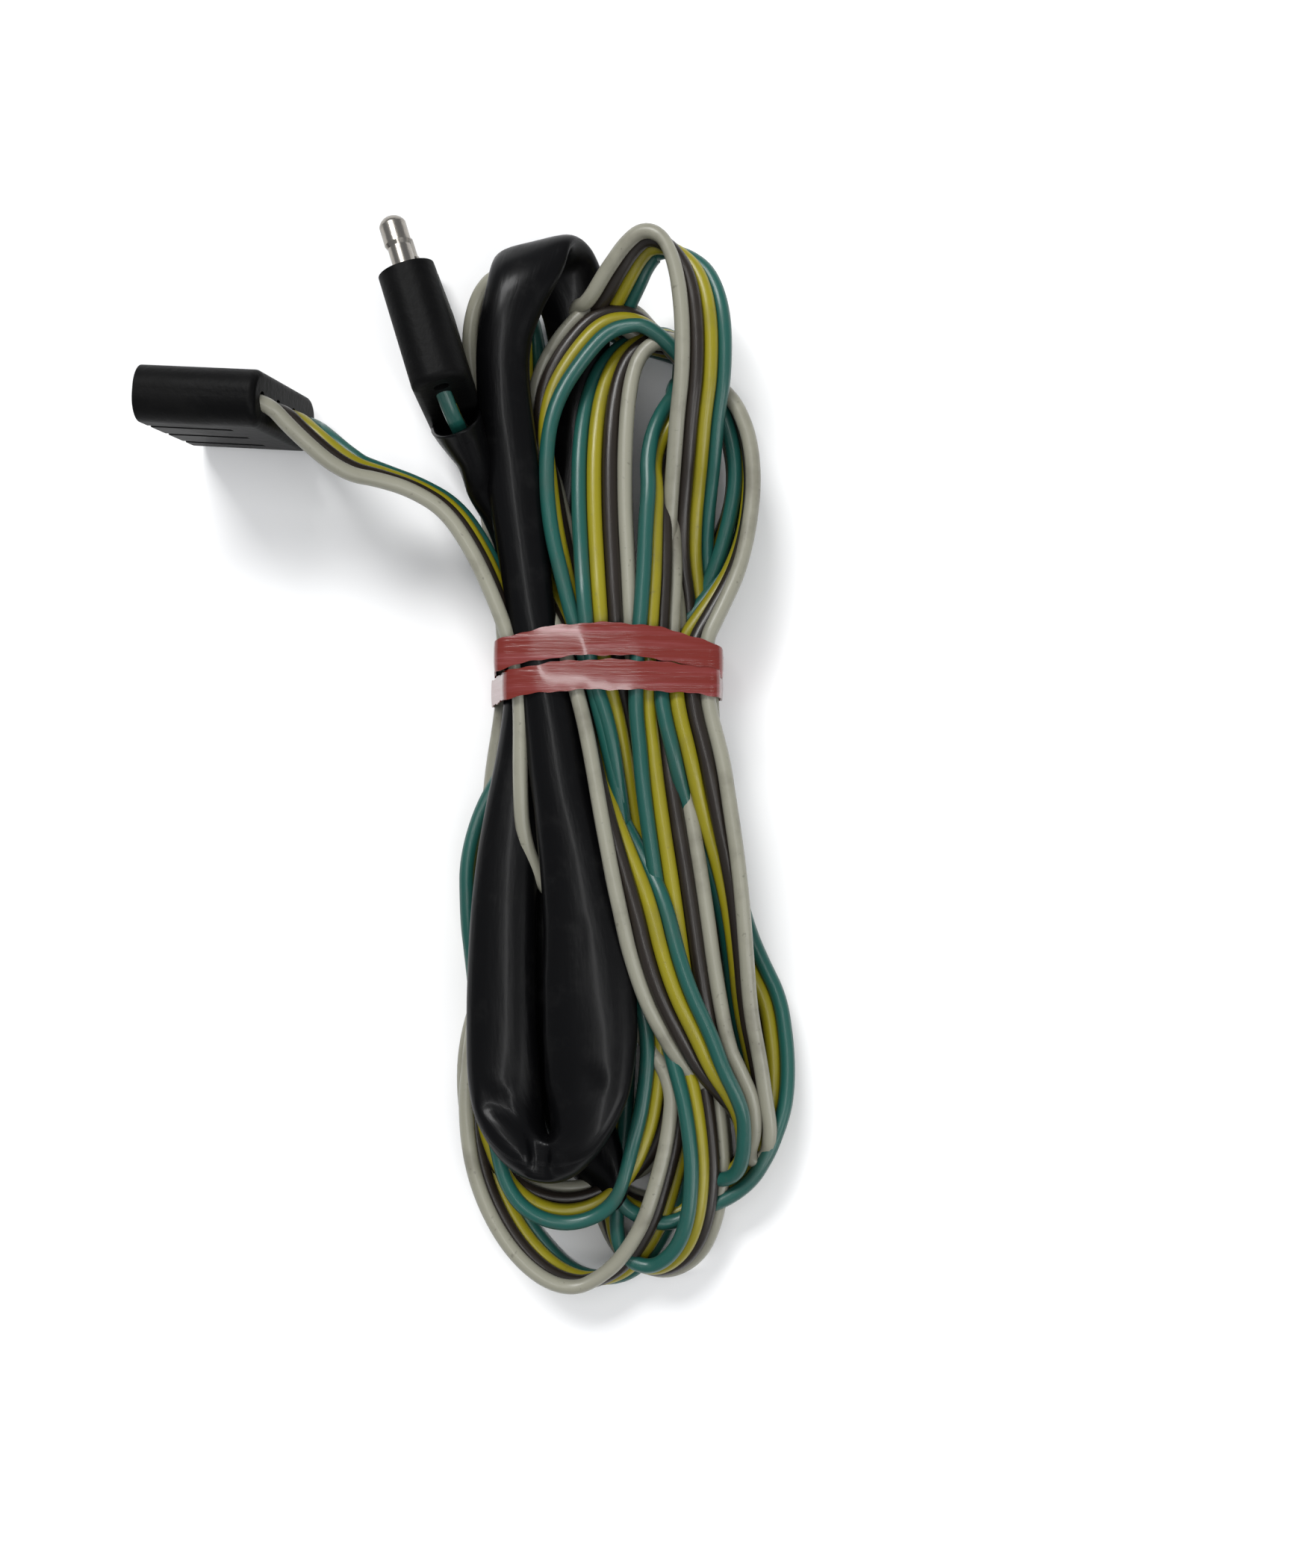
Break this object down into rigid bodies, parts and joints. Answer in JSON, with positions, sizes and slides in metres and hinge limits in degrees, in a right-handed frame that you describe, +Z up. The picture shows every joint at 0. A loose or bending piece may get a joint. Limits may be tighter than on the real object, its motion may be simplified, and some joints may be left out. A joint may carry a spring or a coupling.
{
  "type": "trailer wiring harness",
  "caption": "Coiled flat trailer wiring harness: bonded ribbon of coloured wires, black sleeve, tape tie, and a moulded flat socket and plug with bullet terminals.",
  "frame": {"origin": "middle of the hank's footprint, on the surface it lies on", "axes": "+Z up, +Y along the hank towards the end with the connectors, +X to the right seen from above"},
  "size_m": [0.1101, 0.1864, 0.0384],
  "materials": {
    "connector_rubber": "satin black moulded rubber",
    "carrier_plastic": "matte dark grey",
    "contact_brass": "satin",
    "pin_nickel": "bright nickel plate",
    "copper": "bare copper strands",
    "white_insulation": "satin-gloss vinyl, slightly soiled",
    "brown_insulation": "satin-gloss vinyl",
    "yellow_insulation": "satin-gloss vinyl",
    "green_insulation": "satin-gloss vinyl",
    "ribbon_insulation": "four bonded vinyl wires",
    "gathered_wires": "gathered vinyl wires and sleeve",
    "sleeve_vinyl": "glossy soft black vinyl",
    "red_tape": "glossy translucent red tape"
  },
  "bodies": {
    "harness": {"hank_waist": "gathered_wires", "plug_core_brown": "copper", "plug_core_green": "copper", "plug_core_white": "copper", "plug_core_yellow": "copper", "plug_ground_contact": "contact_brass", "plug_housing": "connector_rubber", "plug_pin_brown": "pin_nickel", "plug_pin_green": "pin_nickel", "plug_pin_yellow": "pin_nickel", "plug_terminal_carrier": "carrier_plastic", "plug_wire_brown": "brown_insulation", "plug_wire_green": "green_insulation", "plug_wire_white": "white_insulation", "plug_wire_yellow": "yellow_insulation", "ribbon_lower_loops": "ribbon_insulation", "ribbon_upper_loops": "ribbon_insulation", "sleeve_lead": "sleeve_vinyl", "sleeve_lower_loop": "sleeve_vinyl", "sleeve_upper_loop": "sleeve_vinyl", "socket_contact_brown": "contact_brass", "socket_contact_green": "contact_brass", "socket_contact_yellow": "contact_brass", "socket_core_brown": "copper", "socket_core_green": "copper", "socket_core_white": "copper", "socket_core_yellow": "copper", "socket_ground_pin": "pin_nickel", "socket_housing": "connector_rubber", "socket_terminal_carrier": "carrier_plastic", "socket_wire_brown": "brown_insulation", "socket_wire_green": "green_insulation", "socket_wire_white": "white_insulation", "socket_wire_yellow": "yellow_insulation", "tie_wrap_lower": "red_tape", "tie_wrap_upper": "red_tape"}
  },
  "joints": []
}
